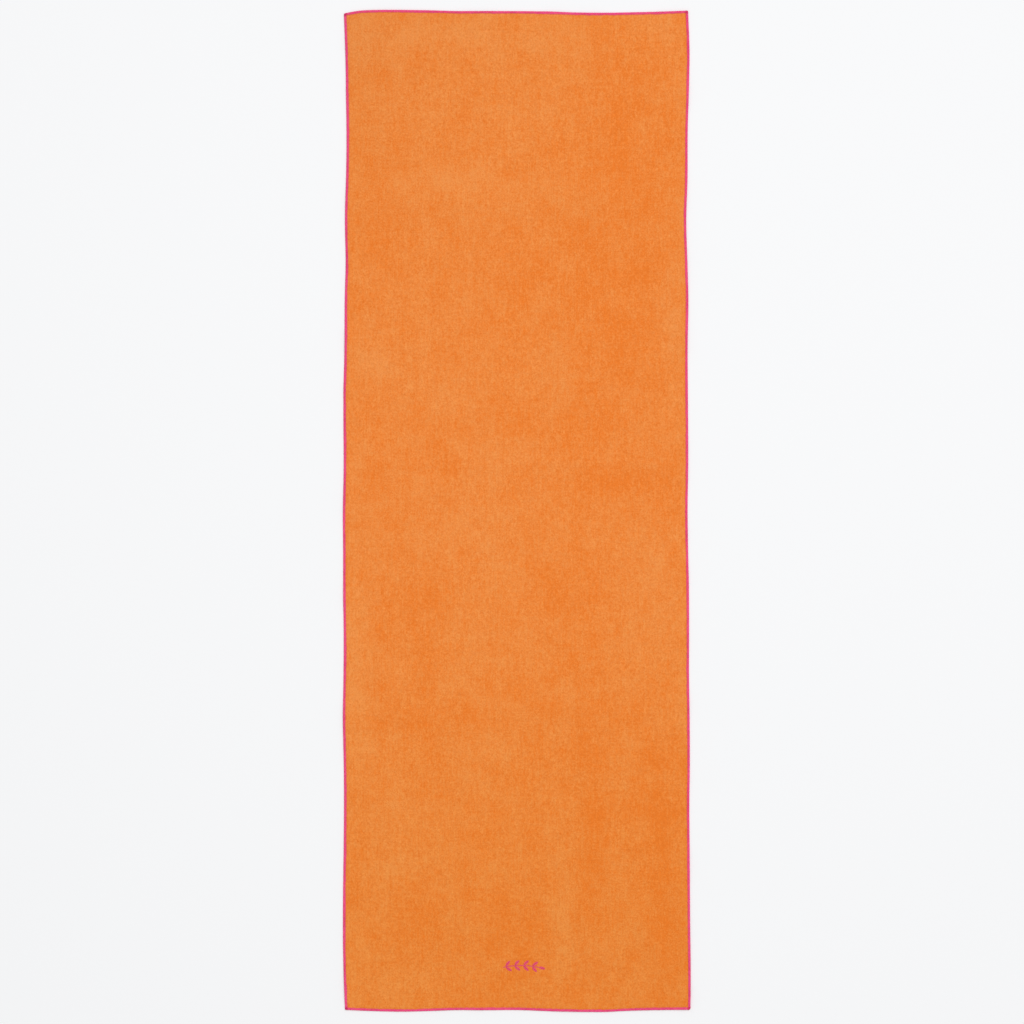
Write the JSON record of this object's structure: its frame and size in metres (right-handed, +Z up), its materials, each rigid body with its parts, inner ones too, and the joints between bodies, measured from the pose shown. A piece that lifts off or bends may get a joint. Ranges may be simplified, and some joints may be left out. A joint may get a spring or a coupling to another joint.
{
  "type": "quick dry towel",
  "caption": "Long flat microfibre towel with a narrow overlocked edge on all four sides and a small embroidered leaf sprig near one end.",
  "frame": {"origin": "middle of the towel's underside as it lies flat", "axes": "+Z up out of the face with the sprig, +Y along the length away from the sprig, +X across the width, to the right as the sprig end is nearest"},
  "size_m": [0.609, 1.754, 0.0022],
  "materials": {
    "microfibre": "short-napped orange microfibre, matt with a faint sheen",
    "edge_thread": "pink textured polyester overlock thread",
    "embroidery_thread": "pink satin-stitch thread with a soft lustre",
    "bobbin_thread": "thin matt pink bobbin thread"
  },
  "bodies": {
    "root": {"cloth_panel": "microfibre", "left_needle_thread": "edge_thread", "right_needle_thread": "edge_thread", "top_needle_thread": "edge_thread", "bottom_needle_thread": "edge_thread", "left_upper_looper_thread": "edge_thread", "right_upper_looper_thread": "edge_thread", "top_upper_looper_thread": "edge_thread", "bottom_upper_looper_thread": "edge_thread", "left_lower_looper_thread": "edge_thread", "right_lower_looper_thread": "edge_thread", "top_lower_looper_thread": "edge_thread", "bottom_lower_looper_thread": "edge_thread", "sprig_stem": "embroidery_thread", "sprig_leaf_1": "embroidery_thread", "sprig_leaf_2": "embroidery_thread", "sprig_leaf_3": "embroidery_thread", "sprig_leaf_4": "embroidery_thread", "sprig_leaf_5": "embroidery_thread", "sprig_leaf_6": "embroidery_thread", "sprig_leaf_7": "embroidery_thread", "sprig_leaf_8": "embroidery_thread", "sprig_leaf_9": "embroidery_thread", "sprig_bobbin_thread": "bobbin_thread"}
  },
  "joints": []
}
